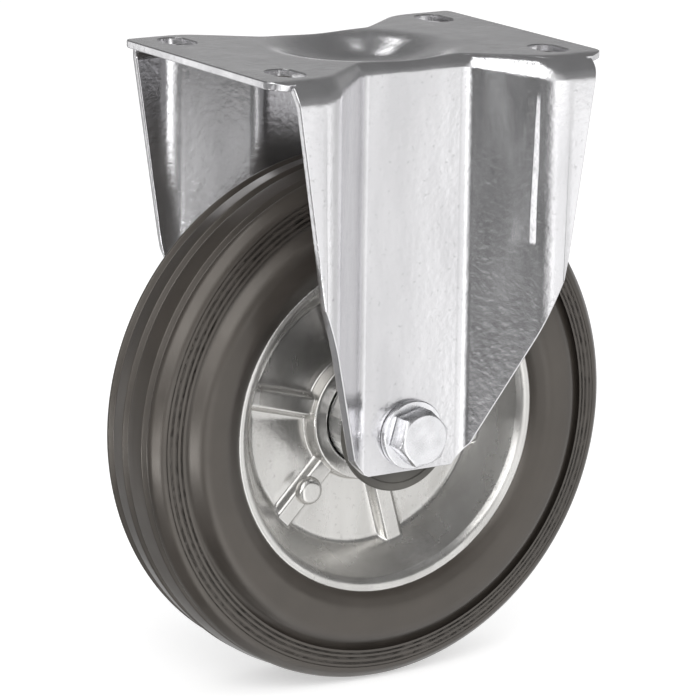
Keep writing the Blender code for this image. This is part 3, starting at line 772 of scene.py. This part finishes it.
def blend_colours(tree, factor, first, second):
    made = add_node(tree, "ShaderNodeMix", data_type="RGBA")
    for index, value in ((0, factor), (6, first), (7, second)):
        if isinstance(value, bpy.types.NodeSocket):
            tree.links.new(value, made.inputs[index])
        else:
            made.inputs[index].default_value = (*value, 1) if index else value
    return made.outputs[2]


def add_bump(tree, shader, height, strength, distance, before=None):
    inputs = {"Height": height, "Strength": strength, "Distance": distance}
    if before:
        inputs["Normal"] = before
    made = add_node(tree, "ShaderNodeBump", inputs)
    tree.links.new(made.outputs["Normal"], shader.inputs["Normal"])
    return made.outputs["Normal"]


def zinc(name, colours, metallic, roughness, peel_depth):
    """Zinc plate: cloudy patches drawn along Z, fine dark speckle and small dents."""
    light, dark = colours
    material, tree, shader = new_material(name)
    shader.inputs["Metallic"].default_value = metallic
    place = place_nodes(tree)
    drawn = place_nodes(tree, (1, 1, 0.25))
    clouds = remap(tree, noise(tree, drawn, scale=70, detail=4), (0.35, 0.68))
    base = blend_colours(tree, clouds, dark, light)
    specks = remap(tree, noise(tree, place, scale=520, detail=2, roughness=0.6), (0.62, 0.75), to=(0, 0.35))
    tree.links.new(blend_colours(tree, specks, base, shaded(dark, 0.55)), shader.inputs["Base Color"])
    wear = noise(tree, drawn, scale=45, detail=5, roughness=0.6)
    tree.links.new(remap(tree, wear, (0.3, 0.7), to=(roughness - 0.05, roughness + 0.08)),
                   shader.inputs["Roughness"])
    away = add_node(tree, "ShaderNodeVectorMath", {0: place, 1: (0, 0, AXLE_TO_PLATE)}, operation="DISTANCE")
    peel_strength = remap(tree, away.outputs["Value"], PEEL_FADE, to=PEEL_STRENGTHS)
    peel = add_bump(tree, shader, noise(tree, place, scale=380), peel_strength, distance=peel_depth)
    grain = noise(tree, place, scale=1500, detail=2)
    add_bump(tree, shader, grain, strength=0.15, distance=0.06 * MM, before=peel)
    return material


def bright_steel(name, colour, roughness):
    """Machined or plated steel with fine turning marks and light stains."""
    material, tree, shader = new_material(name)
    shader.inputs["Metallic"].default_value = 1
    place = place_nodes(tree)
    stains = remap(tree, noise(tree, place, scale=130, detail=4), (0.4, 0.7))
    tree.links.new(blend_colours(tree, stains, colour, shaded(colour, 0.82)), shader.inputs["Base Color"])
    wear = noise(tree, place, scale=300)
    tree.links.new(remap(tree, wear, (0.3, 0.7), to=(roughness - 0.06, roughness + 0.08)),
                   shader.inputs["Roughness"])
    marks = noise(tree, place_nodes(tree, (1, 8, 1)), scale=420, detail=2)
    add_bump(tree, shader, marks, strength=0.2, distance=0.05 * MM)
    return material


def plastic(name, colour):
    """Moulded plastic: slightly uneven in tone, with a fine grain."""
    material, tree, shader = new_material(name)
    place = place_nodes(tree)
    tone = remap(tree, noise(tree, place, scale=60, detail=4), (0.35, 0.7))
    tree.links.new(blend_colours(tree, tone, colour, shaded(colour, 1.35)), shader.inputs["Base Color"])
    shader.inputs["Roughness"].default_value = 0.5
    grain = noise(tree, place, scale=1800, detail=2)
    add_bump(tree, shader, grain, strength=0.3, distance=0.05 * MM)
    return material


def rubber(name, colour):
    """Moulded rubber: dusty bloom in patches, a fine grain and scuffs."""
    material, tree, shader = new_material(name)
    place = place_nodes(tree)
    bloom = remap(tree, noise(tree, place, scale=22, detail=5, roughness=0.6), (0.4, 0.75))
    tree.links.new(blend_colours(tree, bloom, colour, shaded(colour, 1.5)), shader.inputs["Base Color"])
    wear = noise(tree, place, scale=60, detail=4)
    tree.links.new(remap(tree, wear, (0.3, 0.7), to=(0.31, 0.43)), shader.inputs["Roughness"])
    shader.inputs["Specular IOR Level"].default_value = 0.9
    shader.inputs["Specular Tint"].default_value = RUBBER_SHINE
    rough = noise(tree, place, scale=240, detail=4)
    scuffs = add_bump(tree, shader, rough, strength=0.3, distance=0.12 * MM)
    grain = noise(tree, place, scale=2200, detail=2)
    add_bump(tree, shader, grain, strength=0.25, distance=0.05 * MM, before=scuffs)
    return material


def dress(piece, material, body, slot, *nodes):
    """Give a piece its material and body, and let it stand for its nodes."""
    piece.data.materials.clear()
    piece.data.materials.append(material)
    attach(piece, body)
    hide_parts(*nodes)


def repaint(node, material):
    """Give a CAD node that keeps its shape a better material."""
    node.data.materials.clear()
    node.data.materials.append(material)


def build_pieces(nodes):
    sheet = zinc("zinc_sheet", SHEET_COLOURS, metallic=0.92, roughness=0.19, peel_depth=0.36 * MM)
    rim = zinc("zinc_rim", RIM_COLOURS, metallic=0.86, roughness=0.25, peel_depth=0.2 * MM)
    bolt = bright_steel("zinc_bolt", BOLT_COLOUR, roughness=0.26)
    steel = bright_steel("bearing_steel", BEARING_COLOUR, roughness=0.22)
    cap = plastic("grey_plastic", PLASTIC_COLOUR)
    tyre = rubber("black_rubber", RUBBER_COLOUR)
    dress(build_fork(), sheet, "fork", "fork_zinc", "fork_bracket")
    dress(build_bolt(), bolt, "fork", "bolt_steel", "axle_bolt")
    dress(build_nut(), bolt, "fork", "bolt_steel", "axle_nut")
    dress(build_washer("washer_near", -1), bolt, "fork", "bolt_steel", "washer_front")
    dress(build_washer("washer_far", 1), bolt, "fork", "bolt_steel", "washer_rear")
    dress(build_tyre(), tyre, "wheel", "tyre_rubber", "tyre")
    dress(build_rim_disc("rim_near", -1), rim, "wheel", "rim_zinc", "rim_disc_front")
    dress(build_rim_disc("rim_far", 1), rim, "wheel", "rim_zinc", "rim_disc_rear")
    dress(build_cap("cap_near", -1), cap, "wheel", "grey_plastic", "hub_cap_front")
    dress(build_cap("cap_far", 1), cap, "wheel", "grey_plastic", "hub_cap_rear")
    for number, place in enumerate(rivet_places(), start=1):
        dress(build_rivet(f"rivet_{number}", place), rim, "wheel", "rim_zinc", f"rim_rivet_{number}")
    for name in ("hub_tube", "axle_sleeve", *(f"roller_{number}" for number in range(1, 9))):
        repaint(nodes[name], steel)
    repaint(nodes["roller_cage"], cap)


def build_floor():
    """A pale matt floor, which the camera sees as white as the backdrop."""
    floor = flat_square("floor", FLOOR_HALF_SIDE)
    material, tree, shader = new_material("pale_floor")
    shader.inputs["Base Color"].default_value = FLOOR_COLOUR
    shader.inputs["Roughness"].default_value = FLOOR_ROUGHNESS
    shader.inputs["Specular IOR Level"].default_value = 0
    shader.inputs["Emission Color"].default_value = WHITE
    seen = add_node(tree, "ShaderNodeLightPath").outputs["Is Camera Ray"]
    glow = add_node(tree, "ShaderNodeMath", {0: seen, 1: FLOOR_GLOW}, operation="MULTIPLY")
    tree.links.new(glow.outputs[0], shader.inputs["Emission Strength"])
    floor.data.materials.append(material)
    floor.visible_glossy = False


def build_lamp(name, place, size, power):
    """A soft lamp for the rubber and plastic: the metal takes its shine from the studio's walls."""
    light = bpy.data.lights.new(name, "AREA")
    light.shape = "RECTANGLE"
    light.size, light.size_y = size
    light.energy = power
    lamp = add_object(name, light)
    lamp.location = place
    lamp.rotation_euler = (Vector(place) - Vector((0, 0, AXLE_Z))).to_track_quat("Z", "Y").to_euler()
    lamp.visible_glossy = False


def build_card(place, size, turn, level):
    """A white card close to the castor, seen only in its polished and moulded surfaces."""
    card = flat_square("card", 0.5)
    card.location = Vector(place) * MM
    card.rotation_euler = (math.pi / 2, 0, math.radians(turn - 90))
    card.scale = (size[0] * MM, size[1] * MM, 1)
    material, _, shader = new_material("card_white")
    shader.inputs["Base Color"].default_value = BLACK
    shader.inputs["Emission Color"].default_value = WHITE
    shader.inputs["Emission Strength"].default_value = level
    card.data.materials.append(material)
    for kind in ("camera", "diffuse", "transmission", "shadow"):
        setattr(card, f"visible_{kind}", False)


def grey(level):
    return (level, level, level)


def wall_ramp(tree, around, levels):
    """Levels given by direction, blended from one to the next."""
    ramp = add_node(tree, "ShaderNodeValToRGB", {"Fac": around})
    stops = ramp.color_ramp.elements
    for _ in levels[2:]:
        stops.new(0.5)
    for stop, (degrees, level) in zip(stops, levels):
        stop.position = (degrees + 180) / 360
        stop.color = (*grey(level), 1)
    return ramp.outputs["Color"]


def build_walls(tree):
    """What polished surfaces see all round: levels by direction, a dim ceiling and its lamps."""
    ray = add_node(tree, "ShaderNodeTexCoord").outputs["Generated"]
    part = add_node(tree, "ShaderNodeSeparateXYZ", {"Vector": ray}).outputs
    turn = add_node(tree, "ShaderNodeMath", {0: part["Y"], 1: part["X"]}, operation="ARCTAN2").outputs[0]
    around = remap(tree, turn, (-math.pi, math.pi))
    above = remap(tree, part["Z"], LOW_TO_HIGH)
    walls = blend_colours(tree, above, wall_ramp(tree, around, LOW_LEVELS),
                          wall_ramp(tree, around, HIGH_LEVELS))
    high = remap(tree, part["Z"], CEILING_START)
    shown = blend_colours(tree, high, walls, grey(CEILING_LEVEL))
    for direction, edge, level in WALL_LAMPS:
        aim = add_node(tree, "ShaderNodeVectorMath", {0: ray, 1: Vector(direction).normalized()},
                       operation="DOT_PRODUCT").outputs["Value"]
        spread = 1 - math.cos(math.radians(edge))
        lit = remap(tree, aim, (1 - spread, 1 - spread / 3))
        shown = blend_colours(tree, lit, shown, grey(level))
    return shown


def build_world():
    world = bpy.data.worlds.new("studio")
    bpy.context.scene.world = world
    world.use_nodes = True
    tree = world.node_tree
    seen = add_node(tree, "ShaderNodeLightPath").outputs
    plain = blend_colours(tree, seen["Is Camera Ray"], grey(AMBIENT), grey(1))
    colour = blend_colours(tree, seen["Is Glossy Ray"], plain, build_walls(tree))
    tree.links.new(colour, tree.nodes["Background"].inputs["Color"])


def build_studio():
    build_floor()
    for lamp in LAMPS:
        build_lamp(*lamp)
    for card in CARDS:
        build_card(*card)
    build_world()
    bpy.context.scene.view_settings.view_transform = "Standard"


def build_camera():
    """The photograph's camera, from the angles and distances fitted to it."""
    azimuth, elevation, roll = (math.radians(value) for value in (VIEW_AZIMUTH, VIEW_ELEVATION, VIEW_ROLL))
    forward = Vector((math.sin(azimuth) * math.cos(elevation), math.cos(azimuth) * math.cos(elevation),
                      -math.sin(elevation)))
    level = Vector((math.cos(azimuth), -math.sin(azimuth), 0))
    upward = level.cross(forward)
    right = math.cos(roll) * level + math.sin(roll) * upward
    up = math.cos(roll) * upward - math.sin(roll) * level
    place = VIEW_ACROSS * level + VIEW_UP * upward - VIEW_DISTANCE * forward + Vector((0, 0, AXLE_Z))
    data = bpy.data.cameras.new("camera")
    data.sensor_width = SENSOR_WIDTH
    data.lens = FOCAL_PIXELS / FRAME_PIXELS * data.sensor_width
    camera = add_object("camera", data)
    matrix = Matrix((right, up, -forward)).transposed().to_4x4()
    matrix.translation = place
    camera.matrix_world = matrix
    bpy.context.scene.camera = camera


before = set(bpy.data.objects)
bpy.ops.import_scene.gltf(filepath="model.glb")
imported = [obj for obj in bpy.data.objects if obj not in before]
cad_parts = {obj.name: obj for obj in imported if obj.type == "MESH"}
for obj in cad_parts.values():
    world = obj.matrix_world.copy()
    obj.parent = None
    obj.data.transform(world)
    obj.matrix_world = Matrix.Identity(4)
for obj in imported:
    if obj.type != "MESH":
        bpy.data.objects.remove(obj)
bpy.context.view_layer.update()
build_camera()
build_pieces(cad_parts)
build_studio()
